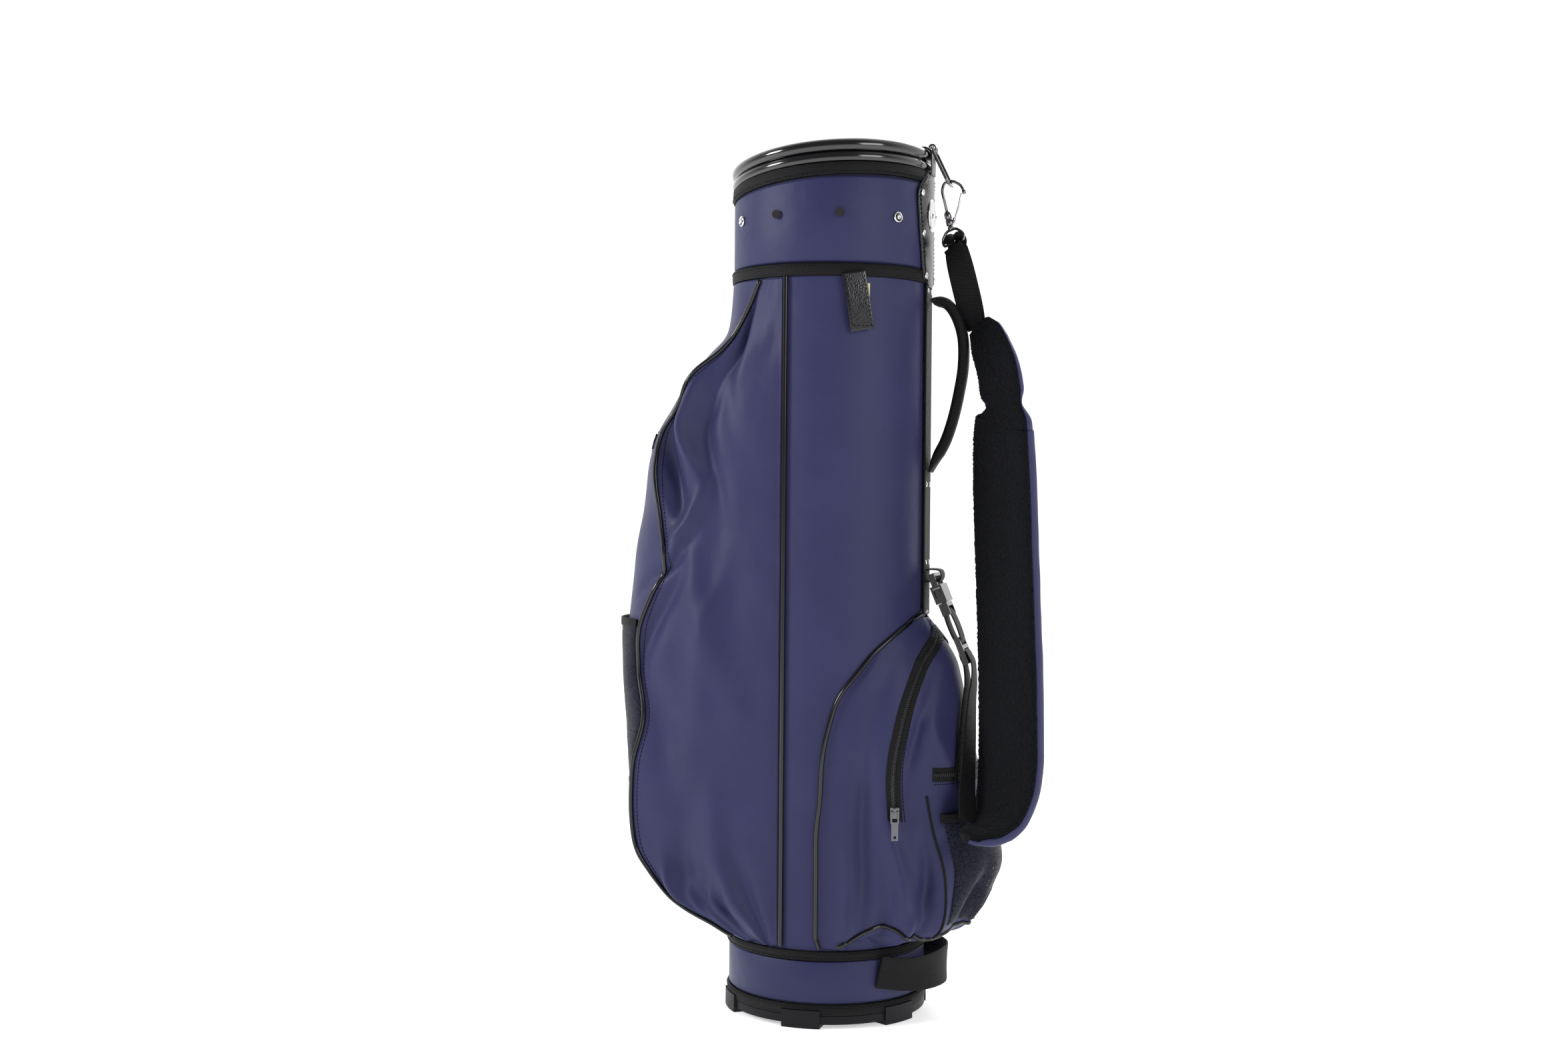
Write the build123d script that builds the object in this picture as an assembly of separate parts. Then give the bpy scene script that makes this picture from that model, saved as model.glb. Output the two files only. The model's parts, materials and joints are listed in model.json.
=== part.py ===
from build123d import *
import os
from math import cos, degrees, radians, sin, sqrt

# Round golf bag. Origin: centre of the base on the ground. +Z is up, +X is the spine
# side that carries the strap, -X is the side of the large pocket. Millimetres.

# ---------------------------------------------------------------- driving dimensions
TUBE_R = 101.5          # outside of the fabric cover
COVER = 1.5             # thickness of the fabric cover
SHELL = 3.0             # wall of the plastic tube
BAND_R = 103.0          # outside of the blue collar and base bands
BINDING_R = 104.5       # outside of the black bindings
FLOOR_Z = 8.0           # top of the base plate
BASE_BAND_Z = (24.0, 68.0)
BASE_TOP_Z = 78.0
COLLAR_Z = (757.0, 770.0)
RIM_TILT = 5.3          # the rim rises towards the spine, degrees
BAND_TOP_Z = 851.0      # heights on the axis of the tilted rim parts
BINDING_TOP_Z = 863.0
LOWER_ROLL = (868.6, 99.5, 5.4)     # axis height, ring radius, roll radius
UPPER_ROLL = (880.5, 99.5, 6.4)
BAR_X = 33.0            # the two divider bars stand at +X and -X
BAR_Z = 820.0
BAR_R = 6.0
SLEEVE_R = 9.0
WALL = 2.5              # pocket wall
WEB = 25.0              # webbing width
RING_BAR = (107.2, 897.8)           # X and Z of the bar of the strap ring
RING_END = (125.8, 859.3)           # X and Z of its far bar
HOOK_AT = (126.5, 0.0, 815.0)       # swivel of the snap hook
HOOK_LEAN = 14.0        # degrees from the vertical
BUCKLE_AT = (110.0, 0.0, 460.0)     # top of the side release buckle
BUCKLE_LEAN = 22.6

PARTS = {}


def keep(name, *shapes):
    """Store one sub-part made of one or more solids."""
    PARTS[name] = shapes[0] if len(shapes) == 1 else Compound(children=list(shapes))


def polar(radius, angle, z):
    """Point on the tube, angle in degrees from -Y towards +X."""
    return (radius * sin(radians(angle)), -radius * cos(radians(angle)), z)


def upright(radius, low, high):
    return Pos(0, 0, (low + high) / 2) * Cylinder(radius, high - low)


def ring(inner, outer, low, high):
    return upright(outer, low, high) - upright(inner, low - 1, high + 1)


def tilted(shape, z):
    """Put a shape made about the origin on the tilted rim plane."""
    return Pos(0, 0, z) * Rot(0, -RIM_TILT, 0) * shape


def above(z):
    """Everything above the tilted rim plane that crosses the axis at z."""
    return tilted(Pos(0, 0, 100) * Box(400, 400, 200), z)


def below(z):
    return tilted(Pos(0, 0, -150) * Box(400, 400, 300), z)


def ribbon(stations):
    """Loft rectangles: (centre, width direction, width, low, high) along the normal."""
    wires = []
    count = len(stations)
    for i, (centre, across, width, low, high) in enumerate(stations):
        before = Vector(*stations[max(i - 1, 0)][0])
        after = Vector(*stations[min(i + 1, count - 1)][0])
        run = (after - before).normalized()
        side = Vector(*across)
        side = (side - run * side.dot(run)).normalized()
        normal = run.cross(side)
        middle = Vector(*centre)
        half = side * (width / 2)
        corners = [
            middle - half + normal * low,
            middle + half + normal * low,
            middle + half + normal * high,
            middle - half + normal * high,
        ]
        wires.append(Wire.make_polygon(corners, close=True))
    return Solid.make_loft(wires, ruled=True)


def rod(points, radius, close=False):
    """Round wire in straight runs with ball corners."""
    points = [Vector(*point) for point in points]
    runs = list(zip(points, points[1:] + points[:1] if close else points[1:]))
    pieces = []
    for start, end in runs:
        place = Plane(origin=start, z_dir=end - start)
        length = (end - start).length
        pieces.append(place * Pos(0, 0, length / 2) * Cylinder(radius, length))
    for point in points if close else points[1:-1]:
        pieces.append(Pos(point) * Sphere(radius))
    return pieces[0].fuse(*pieces[1:])


# ---------------------------------------------------------------- tube and base
SNAP_ANGLES = [-50, 54, 126, 230]


def radial(angle, z, inner, outer, radius):
    """Round stud along the radius at an angle."""
    x, y, _ = polar((inner + outer) / 2, angle, z)
    return Pos(x, y, z) * Rot(0, 0, angle) * Rot(90, 0, 0) * Cylinder(radius, outer - inner)


def along_y(x, z, low, high, radius):
    return Pos(x, (low + high) / 2, z) * Rot(90, 0, 0) * Cylinder(radius, high - low)


def base():
    tray = ring(98.6, 104, 4, 12) + upright(104, 4, FLOOR_Z)
    for step in range(6):
        x, y, _ = polar(95, 60 * step, 0)
        block = Pos(x, y, 9) * Rot(0, 0, 60 * step) * Box(40, 40, 18)
        tray += ring(104, 106.6, 0, 11.9) & block
        tray += ring(104.7, 106.6, 11.8, 18) & block
        tray += ring(78, 104.1, 0, 4.1) & block
    tray += upright(30, 0, 5)
    keep("base_tray", tray)
    keep("base_pad", upright(96, FLOOR_Z, FLOOR_Z + 6))
    keep("base_lower_binding", ring(TUBE_R, BINDING_R, 12, BASE_BAND_Z[0]))
    keep("base_band", ring(TUBE_R, BAND_R, *BASE_BAND_Z))
    keep("base_upper_binding", ring(TUBE_R, BINDING_R, BASE_BAND_Z[1], BASE_TOP_Z))


def tube():
    inner = TUBE_R - COVER
    shell = ring(inner - SHELL, inner, FLOOR_Z + 6.2, 920) - above(BINDING_TOP_Z)
    cover = ring(inner, TUBE_R, 12, 920) - above(BINDING_TOP_Z)
    band = ring(TUBE_R, BAND_R, COLLAR_Z[1], 920) - above(BAND_TOP_Z)
    top = ring(TUBE_R, BINDING_R, 800, 920) - above(BINDING_TOP_Z) - below(BAND_TOP_Z)
    holes = [along_y(x, BAR_Z, -110, 110, 2.6) for x in (-BAR_X, BAR_X)]
    for hole in holes:
        shell -= hole
        cover -= hole
        band -= hole
    keep("tube_shell", shell)
    keep("tube_cover", cover)
    keep("collar_band", band)
    keep("collar_lower_binding", ring(TUBE_R, BINDING_R, *COLLAR_Z))
    keep("collar_upper_binding", top)
    for name, (z, major, minor) in (("rim_roll_lower", LOWER_ROLL), ("rim_roll_upper", UPPER_ROLL)):
        keep(name, tilted(Torus(major, minor), z))


def dividers():
    reach = sqrt(96.9**2 - (BAR_X + SLEEVE_R) ** 2) - 0.5
    bars, sleeves, panels, screws = [], [], [], []
    for x in (-BAR_X, BAR_X):
        bar = along_y(x, BAR_Z, -reach, reach, BAR_R) - along_y(x, BAR_Z, -110, 110, 2.5)
        bars.append(bar)
        sleeve = along_y(x, BAR_Z, -reach + 2, reach - 2, SLEEVE_R)
        sleeves.append(sleeve - along_y(x, BAR_Z, -reach, reach, BAR_R))
        panel_z = (560.0, BAR_Z - SLEEVE_R - 0.3)
        depth = panel_z[1] - panel_z[0]
        panel = Pos(x, 0, sum(panel_z) / 2) * Box(1.6, 2 * reach - 8, depth)
        panels.append(panel)
        for end in (-1, 1):
            near = sqrt(BAND_R**2 - (BAR_X - 4.5) ** 2) + 0.1
            low, high = sorted((end * (near - 34), end * near))
            shank = along_y(x, BAR_Z, low, high, 2.45)
            low, high = sorted((end * near, end * (near + 2)))
            head = along_y(x, BAR_Z, low, high, 4.4)
            screws.append(shank + head)
    keep("divider_bars", *bars)
    keep("divider_sleeves", *sleeves)
    keep("divider_panels", *panels)
    keep("divider_screws", *screws)


def snaps():
    studs = []
    for angle in SNAP_ANGLES:
        collar = radial(angle, 819, BAND_R + 0.2, BAND_R + 2.2, 5.6)
        collar -= radial(angle, 819, BAND_R + 1.2, BAND_R + 3, 4.0)
        studs.append(collar + radial(angle, 819, BAND_R + 0.6, BAND_R + 3.4, 2.2))
    keep("hood_snaps", *studs)


# ---------------------------------------------------------------- spine
PATCH_R = (BINDING_R + 0.3, BINDING_R + 2.3)


def spine():
    outline = Polyline(
        (-15, 870), (-37, 852), (-33, 815), (-27, 775), (-24, 760), (-12, 755),
        (12, 755), (24, 760), (27, 775), (33, 815), (37, 852), (15, 870), close=True,
    )
    blank = extrude(Plane.YZ * make_face(outline), 120)
    keep("spine_patch", ring(*PATCH_R, 740, 880) & blank)
    rivets = []
    for y, z in ((-30, 848), (-27, 807), (-20, 764)):
        for side in (-1, 1):
            angle = 90 + side * degrees(y / PATCH_R[1])
            rivets.append(radial(angle, z, PATCH_R[1], PATCH_R[1] + 1.6, 3.2))
    face = PATCH_R[1] + 0.3
    disc = radial(90, 828, face - 2.6, face + 1.4, 17) - upright(PATCH_R[1] + 0.1, 800, 850)
    keep("badge_disc", disc)
    pins = [radial(90 + side * 4.5, 828, face + 2.0, face + 3.0, 1.3) for side in (-1, 1)]
    keep("badge_pins", *pins)

    # leather loop over the rim that holds the bar of the strap ring
    roll_x = UPPER_ROLL[1] * cos(radians(RIM_TILT))
    roll_z = UPPER_ROLL[0] + UPPER_ROLL[1] * sin(radians(RIM_TILT))
    gap = UPPER_ROLL[2] + 0.9
    low_z = 872.0
    outer = Pos(roll_x, 0, roll_z) * Rot(90, 0, 0) * Cylinder(gap + 1.8, 22)
    outer += Pos(roll_x, 0, (roll_z + low_z) / 2) * Box(2 * gap + 3.6, 22, roll_z - low_z)
    inner = Pos(roll_x, 0, roll_z) * Rot(90, 0, 0) * Cylinder(gap, 24)
    inner += Pos(roll_x, 0, (roll_z + low_z) / 2 - 2) * Box(2 * gap, 24, roll_z - low_z + 4)
    eye = Pos(RING_BAR[0], 0, RING_BAR[1]) * Rot(90, 0, 0)
    loop = (outer + eye * Cylinder(4.6, 12)) - inner - eye * Cylinder(2.4, 14)
    keep("ring_loop", loop)

    strip = ring(TUBE_R + 0.1, TUBE_R + 3, 430, 756.5)
    keep("spine_strip", strip & Pos(103, 0, 600) * Box(20, 30, 400))
    for z in (749.5, 549, 468):
        for y in (-8.5, 8.5):
            rivets.append(radial(90 + degrees(y / 104), z, TUBE_R + 3.0, TUBE_R + 5.0, 3.1))
    keep("rivets", *rivets)
    left = TUBE_R + 3.1
    bar_z = BUCKLE_AT[2] - 5.75 * cos(radians(BUCKLE_LEAN))
    loop = Pos(left + 9, 0, bar_z) * Box(18, 20, 13.4) - Pos(left + 8.7, 0, bar_z) * Box(14, 30, 9.6)
    keep("buckle_loop", fillet(loop.edges().filter_by(Axis.Y).group_by(Axis.X)[-1], 5))


def label():
    panel = ring(BINDING_R + 0.4, BINDING_R + 0.8, 716, 750)
    x, y, _ = polar(105, 33, 0)
    keep("size_label", panel & Pos(x, y, 733) * Rot(0, 0, 33) * Box(9, 20, 60))


# ---------------------------------------------------------------- pockets
ARC_STEPS = 8
SIDE_STEPS = 4


def face_x(level, y):
    """X of the face arc of a pocket level at y."""
    _, _, seam_x, seam_y, centre_x = level
    rise = centre_x - seam_x
    radius = (rise * rise + seam_y * seam_y) / (2 * rise)
    return centre_x - radius + sqrt(radius * radius - y * y)


def side_panel(start, end, least):
    """Points from the tube to the seam that stay outside a radius."""
    points = [start]
    for step in range(1, SIDE_STEPS):
        part = step / SIDE_STEPS
        point = Vector(*start) * (1 - part) + Vector(*end) * part
        if point.length < least:
            point = point.normalized() * least
        points.append((point.X, point.Y))
    return points


def outline(level, inset):
    """Half open outline of a pocket: tube, seam, face arc, seam, tube."""
    z, half, seam_x, seam_y, centre_x = level
    back = TUBE_R + 1.3
    half -= 1.5 * inset / WALL
    level = (z, half, seam_x - inset, seam_y - inset, centre_x - inset)
    root = (back * cos(radians(half)), -back * sin(radians(half)))
    least = back + 0.5 * (WALL - inset)
    side = side_panel(root, (level[2], -level[3]), least)
    face = []
    for step in range(ARC_STEPS + 1):
        y = level[3] * (2 * step / ARC_STEPS - 1)
        face.append((face_x(level, y), y))
    return side + face + [(x, -y) for x, y in side[::-1]]


def pocket(sign, levels):
    """Thin pocket wall with its back open on the tube."""
    wires = []
    for level in levels:
        points = outline(level, 0) + outline(level, WALL)[::-1]
        wires.append(Wire.make_polygon([(sign * x, y, level[0]) for x, y in points], close=True))
    return Solid.make_loft(wires, ruled=True)


# height, half angle on the tube, seam X, seam Y, middle of the face X
FRONT_LEVELS = [
    (80, 75, 68, 82, 108), (95, 75, 104, 80, 139), (110, 75, 130, 80, 157),
    (123, 75, 151, 80, 172), (146, 75, 172, 80, 191), (170, 75, 186, 80, 203),
    (212, 75, 191, 80, 209), (304, 75, 181, 80, 213), (354, 75, 188, 80, 216),
    (400, 75, 184, 80, 217), (460, 75, 158, 80, 213), (505, 75, 160, 80, 206),
    (567, 75, 167, 80, 194), (602, 75, 162, 80, 183), (628, 75, 142, 80, 169),
    (656, 75, 122, 80, 153), (684, 75, 95, 80, 130), (708, 75, 78, 80, 109),
    (752, 75, 58, 90, 107),
]
REAR_LEVELS = [
    (82, 82, 98, 46, 109), (92, 82, 128, 62, 140), (104, 82, 137, 66, 152), (128, 82, 141, 68, 163),
    (160, 82, 139, 70, 177), (197, 82, 129, 70, 170), (233, 80, 122, 70, 163),
    (270, 79, 118, 70, 157), (300, 76, 117, 68, 149), (333, 70, 115, 62, 144),
    (361, 58, 112, 50, 138), (380, 48, 109, 38, 129), (398, 33, 106, 24, 116),
    (410, 20, 105.5, 13, 109),
]


def between(levels, z):
    """Level of a pocket at any height."""
    for low, high in zip(levels, levels[1:]):
        if low[0] <= z <= high[0]:
            part = (z - low[0]) / (high[0] - low[0])
            return [a + (b - a) * part for a, b in zip(low, high)]
    raise ValueError(z)


def skin(sign, levels, heights, width, lift, thick):
    """Panel that follows a pocket face at a distance, its sides drawn in to the face."""
    wires = []
    for z in heights:
        level = between(levels, z)
        y = min(width / 2, level[3] - 3)
        side_x = sign * (face_x(level, y) + 0.3)
        edge_x = sign * (face_x(level, y) + 0.3 + thick)
        centre_x = level[4] + lift
        wires.append(Wire([
            Edge.make_three_point_arc((edge_x, -y, z), (sign * (centre_x + thick), 0, z), (edge_x, y, z)),
            Edge.make_line((edge_x, y, z), (side_x, y, z)),
            Edge.make_three_point_arc((side_x, y, z), (sign * centre_x, 0, z), (side_x, -y, z)),
            Edge.make_line((side_x, -y, z), (edge_x, -y, z)),
        ]))
    return Solid.make_loft(wires, ruled=True)


FRONT_ZIP_Z = 592.0
SMALL_ZIP_Z = 254.0
FRONT_MESH_Z = (236, 304, 354, 398)
REAR_MESH_Z = (106, 128, 160, 197, 210)


def pockets():
    keep("front_pocket", pocket(-1, FRONT_LEVELS))
    keep("rear_pocket", pocket(1, REAR_LEVELS))
    keep("front_zip", skin(-1, FRONT_LEVELS, (FRONT_ZIP_Z - 8, FRONT_ZIP_Z + 8), 140, 0.3, 1.2))
    keep("small_zip", skin(1, REAR_LEVELS, (SMALL_ZIP_Z - 7, SMALL_ZIP_Z + 7), 90, 0.3, 1.2))
    keep("front_mesh", skin(-1, FRONT_LEVELS, FRONT_MESH_Z, 150, 7.0, 1.2))
    keep("rear_mesh", skin(1, REAR_LEVELS, REAR_MESH_Z, 120, 8.0, 1.2))
    keep(
        "mesh_bindings",
        skin(-1, FRONT_LEVELS, (398.1, 406), 150, 6.6, 2.4),
        skin(1, REAR_LEVELS, (210.1, 218), 120, 7.6, 2.4),
    )


def mirrored(points):
    return [(x, -y, z) for x, y, z in points]


def pipe_along(route):
    """Square stand-in for a piping, its sides along the radius of the tube."""
    half = 2.2
    stations = []
    for point in route:
        across = Vector(point[0], point[1], 0).normalized()
        stations.append((point, tuple(across), 2 * half, -half, half))
    return ribbon(stations)


def pipings():
    pipe = 2.4
    bottom = BASE_TOP_Z + 3
    top = COLLAR_Z[0] - 0.2
    sides = [Pos(*polar(TUBE_R + pipe + 0.1, a, (bottom + top) / 2)) * Cylinder(pipe, top - bottom)
             for a in (-12.5, 192.5)]
    keep("side_piping", *sides)
    seam = [(-sx - 1.5, -sy - 1.5, z) for z, _, sx, sy, _ in FRONT_LEVELS[1:-1]]
    route = [(-64, -88, 84)] + seam + [(-56, -94, 752)]
    keep("front_piping", pipe_along(route), pipe_along(mirrored(route)))
    route = [polar(TUBE_R + 4.2, 90 - half, z) for z, half, _, _, _ in REAR_LEVELS]
    route += [(TUBE_R + 4.2, 0, 419)] + mirrored(route)[::-1]
    keep("rear_piping", pipe_along(route))


ZIP_ROUTE = [(90, -81, 212), (91, -80.5, 250), (94, -78.5, 290), (99, -71, 325), (106, -57, 356),
             (112, -38, 380), (118, 0, 396)]


def rear_zip():
    route = ZIP_ROUTE + mirrored(ZIP_ROUTE[:-1])[::-1]
    stations = []
    for x, y, z in route:
        across = (1, -y / 80, 0) if abs(y) > 45 else (1, 0, -0.6)
        stations.append(((x, y, z), across, 16, -0.7, 0.7))
    keep("rear_zip", ribbon(stations))


# ---------------------------------------------------------------- zip sliders
def slider(name, at, turn, lean):
    """Slider with a bail, and a pull tab that hangs from it and leans out."""
    place = Pos(*at) * Rot(0, 0, turn)
    body = Box(9, 3, 11) + Pos(0, -2.6, 1.5) * Box(3, 3, 7)
    bail_hole = Pos(0, -2.9, 1.5) * Rot(0, 90, 0) * Cylinder(1.25, 12)
    keep(name + "_slider", place * (body - bail_hole))
    cross = Pos(0, -2.9, 1.5) * Rot(0, 90, 0) * Cylinder(0.85, 7)
    arms = Pos(0, -2.9, -4.2) * (Box(8.6, 1.7, 12.6) - Pos(0, 0, 1) * Box(5.2, 3, 11))
    tab = Pos(0, -2.9, -19) * Box(7, 1.7, 17)
    hole = Pos(0, -2.9, -24) * Rot(90, 0, 0) * Cylinder(1.6, 4)
    pull = cross + arms + tab - hole
    bail = Pos(0, -2.9, 1.5)
    keep(name + "_pull", place * bail * Rot(-lean, 0, 0) * Pos(0, 2.9, -1.5) * pull)


def sliders():
    level = between(FRONT_LEVELS, FRONT_ZIP_Z)
    slider("front_zip", (-face_x(level, 30) - 4.9, 31, FRONT_ZIP_Z), -101.7, 17)
    level = between(REAR_LEVELS, SMALL_ZIP_Z)
    slider("small_zip", (face_x(level, 24) + 4.2, 25, SMALL_ZIP_Z), 107.9, 14)
    slider("rear_zip", (91.4, -86.5, 219), 15, 0)


# ---------------------------------------------------------------- handles and tab
def grab_handle():
    route = [(109.2, 0, 739), (126, 0, 736), (141, 0, 700), (141, 0, 672), (132, 0, 620),
             (117, 0, 585), (109.2, 0, 564)]
    stations = [(p, (0, 1, 0), 15, -3.5, 3.5) for i, p in enumerate(route)]
    keep("grab_handle", ribbon(stations))


def lift_handle():
    stations = []
    for angle in range(46, 135, 11):
        sag = cos(radians((angle - 90) * 2))
        radius = 108.2 + 19.8 * max(sag, 0)
        stations.append((polar(radius, angle, 56 - 8 * max(sag, 0)), (0, 0, 1), 34, -1.2, 1.2))
    keep("lift_handle", ribbon(stations))


TAB_ANGLE = 26.0


def accessory_tab():
    place = Pos(*polar(BINDING_R + 2.2, TAB_ANGLE, 760)) * Rot(0, 0, TAB_ANGLE)
    strap = Pos(0, 0, -28) * Box(24, 2.4, 58)
    keep("accessory_tab", place * fillet(strap.edges().filter_by(Axis.Y), 3))


# ---------------------------------------------------------------- ring and snap hook
HOOK = Pos(*HOOK_AT) * Rot(0, -HOOK_LEAN, 0)


def strap_ring():
    half = 14.0
    points = [(RING_BAR[0], -half, RING_BAR[1]), (RING_BAR[0], half, RING_BAR[1]),
              (RING_END[0], half - 1, RING_END[1]), (RING_END[0], 1 - half, RING_END[1])]
    keep("strap_ring", rod(points, 1.5, close=True))


def snap_hook():
    wire = [(0, 0, 14), (0, 0, 40), (4, 0, 47.5), (13, 0, 47.5), (21, 0, 40), (22, 0, 31)]
    bow = rod(wire, 1.5)
    barrel = Pos(0, 0, 9.5) * Cylinder(3.6, 14.6) + Pos(4.6, 0, 7) * Box(4, 2, 5)
    barrel -= Pos(0, 0, 4) * Cylinder(1.9, 10)
    barrel -= Pos(5.6, 0, 7) * Rot(90, 0, 0) * Cylinder(1.2, 10)
    keep("snap_hook", HOOK * (bow + barrel))
    legs = [rod([(5.6, y, 7), (14, y, 21), (19.0, y * 0.5, 31)], 0.7) for y in (-1.9, 1.9)]
    pin = Pos(5.6, 0, 7) * Rot(90, 0, 0) * Cylinder(0.8, 4.6)
    tip = Pos(19.0, 0, 31) * Rot(90, 0, 0) * Cylinder(0.8, 2.6)
    keep("hook_gate", HOOK * (legs[0] + legs[1] + pin + tip))


STRAP_TURN = -29.4      # the strap is twisted about the vertical


def swivel_eye():
    half = WEB / 2 + 1.6
    points = [(half, 0, -2.4), (half, 0, -16), (-half, 0, -16), (-half, 0, -2.4)]
    frame = rod(points, 1.5, close=True)
    pin = Pos(0, 0, 2.2) * Cylinder(1.5, 9) + Pos(0, 0, -0.4) * Cylinder(3.2, 3.6)
    keep("swivel_eye", HOOK * Rot(0, 0, STRAP_TURN) * (frame + pin))


# ---------------------------------------------------------------- shoulder strap
ACROSS = (0.87, -0.49, 0)
PAD_ROUTE = [
    ((157, 0, 712), 30, 10), ((167, -6, 698), 42, 15), ((180, -16, 668), 46, 16),
    ((186, -16, 632), 50, 16), ((184, -10, 600), 68, 23), ((188, -9, 538), 74, 25),
    ((192, -12, 455), 74, 25), ((197, -22, 370), 74, 25), ((201, -36, 285), 74, 25),
    ((201, -50, 245), 72, 24), ((194, -64, 216), 66, 22), ((181, -79, 203), 58, 20),
    ((167, -90, 200), 46, 16),
]
FLEECE = 7.0


def strap():
    eye_bar = HOOK * Pos(0, 0, -16)
    at = eye_bar.position
    wrap = Rot(0, -20, 0) * Rot(0, 0, STRAP_TURN)
    loop = Box(WEB, 8.6, 9.6) - Pos(0, 0, -0.2) * Box(WEB + 4, 5.0, 6.2)
    lead = ribbon([
        ((at.X + 1.2, 0, at.Z - 4.2), ACROSS, WEB, -1.9, 1.9),
        ((at.X + 9, 0, at.Z - 28), ACROSS, WEB, -1.9, 1.9),
        ((149, 0, 738), ACROSS, WEB, -1.9, 1.9),
        ((156, 0, 713), ACROSS, WEB, -1.9, 1.9),
    ])
    keep("upper_webbing", Pos(at.X, at.Y, at.Z) * wrap * loop + lead)
    shell = [(p, ACROSS, w, -t / 2, t / 2 - FLEECE) for p, w, t in PAD_ROUTE]
    lining = [(p, ACROSS, w - 4, t / 2 - FLEECE, t / 2) for p, w, t in PAD_ROUTE]
    keep("strap_pad", ribbon(shell))
    keep("strap_lining", ribbon(lining))


BUCKLE = Pos(*BUCKLE_AT) * Rot(0, -BUCKLE_LEAN, 0)


def slab(low, high, half_y, half_x, y=0.0):
    """Block in the buckle frame, low and high measured down from its top."""
    return Pos(0, y, -(low + high) / 2) * Box(2 * half_x, 2 * half_y, high - low)


def buckle():
    female = slab(17, 36, 17, 6) + slab(4, 18, 17, 3.2)
    female -= slab(7.5, 16.6, 13.5, 10)
    female -= slab(18.4, 37, 14.5, 3.6)
    female -= slab(19, 29.5, 20, 3.6)
    keep("buckle_housing", BUCKLE * female)
    male = slab(36.5, 50, 15, 4.5) - slab(41, 46, 12.8, 10) + slab(21, 37, 4, 2.5)
    male -= slab(45, 51, 12.8, 10) - slab(46, 50, 14, 2.9)
    keep("buckle_tongue", BUCKLE * male)
    for side, name in ((-1, "near"), (1, "far")):
        prong = slab(20.5, 36, 1.5, 2.5, 9.5 * side) + slab(20.5, 28, 4.2, 2.5, 12.4 * side)
        keep("buckle_prong_" + name, BUCKLE * prong)
    tie = slab(42.6, 82.4, 12.4, 5.2) - slab(44.5, 80.5, 14, 3.3)
    keep("strap_tie", BUCKLE * tie)
    lock = slab(75, 104, 16, 3)
    for low, high in ((79.5, 84), (88, 92), (96, 100)):
        lock -= slab(low, high, 12.8, 5)
    keep("ladder_lock", BUCKLE * lock)
    turn = BUCKLE * (slab(89, 108, 12.4, 5.2) - slab(91, 109, 14, 3.3))
    ends = [(BUCKLE * Pos(x, 0, -108)).position for x in (4.25, -4.25)]
    flat = (0, 1, 0)
    front = ribbon([
        (tuple(ends[0]), flat, 24.8, -0.95, 0.95), ((156, -14, 325), (0.3, 1, 0), 24.8, -0.95, 0.95),
        ((158, -38, 280), (0.4, 1, 0), 24.8, -0.95, 0.95),
        ((160, -60, 240), (0.5, 1, 0), 24.8, -0.95, 0.95),
        ((165, -80, 212), (0.6, 1, 0), 24.8, -0.95, 0.95),
    ])
    rear = ribbon([
        (tuple(ends[1]), flat, 24.8, -0.95, 0.95), ((150, -12, 322), (0.3, 1, 0), 24.8, -0.95, 0.95),
        ((152, -33, 280), (0.4, 1, 0), 24.8, -0.95, 0.95),
        ((153, -52, 240), (0.5, 1, 0), 24.8, -0.95, 0.95),
    ])
    keep("lower_webbing", turn, front, rear)


def main():
    base()
    tube()
    dividers()
    snaps()
    spine()
    label()
    pockets()
    pipings()
    rear_zip()
    sliders()
    grab_handle()
    lift_handle()
    accessory_tab()
    strap_ring()
    snap_hook()
    swivel_eye()
    strap()
    buckle()
    os.makedirs("parts", exist_ok=True)
    for name, shape in PARTS.items():
        export_step(shape, "parts/" + name + ".step")


main()
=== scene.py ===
import bpy
import json
from math import cos, exp, hypot, pi, radians, sin, sqrt
from mathutils import Matrix, Vector, noise


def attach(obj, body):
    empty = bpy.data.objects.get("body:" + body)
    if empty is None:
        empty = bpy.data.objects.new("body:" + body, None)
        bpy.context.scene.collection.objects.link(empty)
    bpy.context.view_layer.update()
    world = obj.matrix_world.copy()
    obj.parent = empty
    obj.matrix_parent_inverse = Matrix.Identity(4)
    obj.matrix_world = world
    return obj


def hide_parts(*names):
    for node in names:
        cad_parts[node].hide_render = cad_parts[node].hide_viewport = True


# The golf bag's look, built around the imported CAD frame. Lengths in this file are in
# millimetres in the CAD frame and become metres when a mesh is made.
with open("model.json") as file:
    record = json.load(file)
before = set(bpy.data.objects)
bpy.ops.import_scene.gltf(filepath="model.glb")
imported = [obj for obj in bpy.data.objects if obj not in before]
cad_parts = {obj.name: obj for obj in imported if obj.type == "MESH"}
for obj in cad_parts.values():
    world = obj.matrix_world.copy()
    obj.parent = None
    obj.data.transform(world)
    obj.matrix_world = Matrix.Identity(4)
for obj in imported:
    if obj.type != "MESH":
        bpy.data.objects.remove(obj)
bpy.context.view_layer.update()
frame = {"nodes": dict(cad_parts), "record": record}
MM = 0.001

TUBE_R = 101.5
BAND_R = 103.0
BINDING_R = 104.5
RIM_TILT = 5.3
RIM_SADDLE = 5.0        # the rim is this much higher beside the spine line than the flat tilt
STITCH = (3.2, 0.75)    # length and width of one stitch
STITCH_LIFT = 0.35      # how far a stitch stands off a binding

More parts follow.
